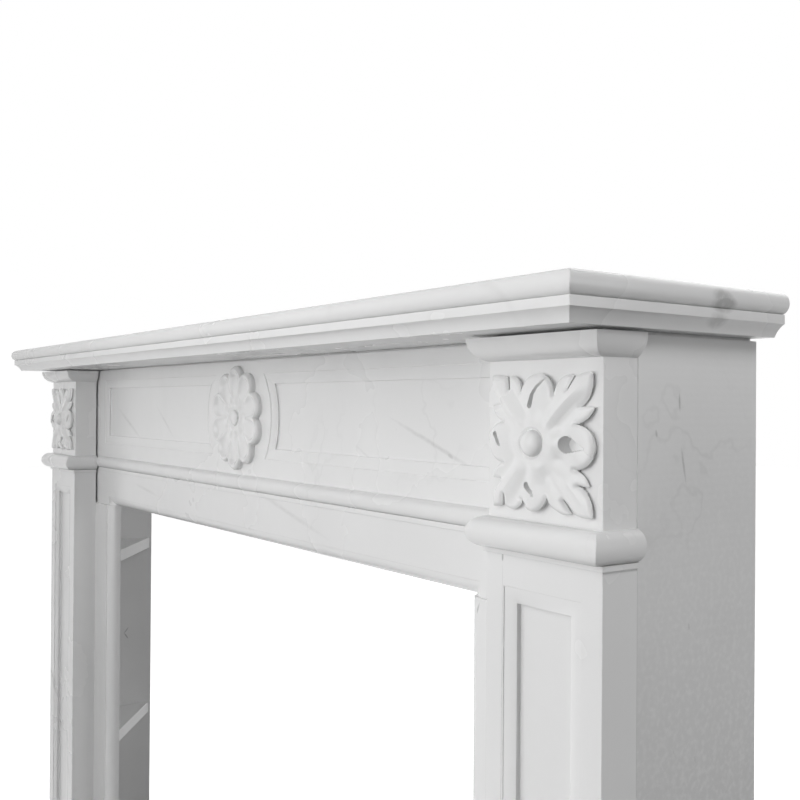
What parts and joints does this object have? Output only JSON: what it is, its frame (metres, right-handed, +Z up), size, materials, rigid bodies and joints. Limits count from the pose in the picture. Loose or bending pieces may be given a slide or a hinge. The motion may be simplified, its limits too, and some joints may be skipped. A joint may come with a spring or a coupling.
{
  "type": "fireplace mantel",
  "caption": "Moulded stone fireplace mantel: deep shelf, panelled frieze with a round rosette, and panelled pilasters under square acanthus pateras.",
  "frame": {"origin": "on the floor, in the middle of the width and midway between the shelf's front and the wall", "axes": "+X along the front, to the right as seen from the room; +Y from the room into the wall; +Z up"},
  "size_m": [1.589, 0.28, 1.1],
  "materials": {
    "marble": "polished",
    "marble_sawn": "honed"
  },
  "bodies": {
    "root": {"mantel_shelf": "marble", "frieze_lintel": "marble", "pilaster_left": "marble", "pilaster_right": "marble", "side_slab_left": "marble_sawn", "side_slab_right": "marble_sawn", "slip_left": "marble", "slip_right": "marble", "upper_brace_left": "marble_sawn", "upper_brace_right": "marble_sawn", "lower_brace_left": "marble_sawn", "lower_brace_right": "marble_sawn"}
  },
  "joints": []
}
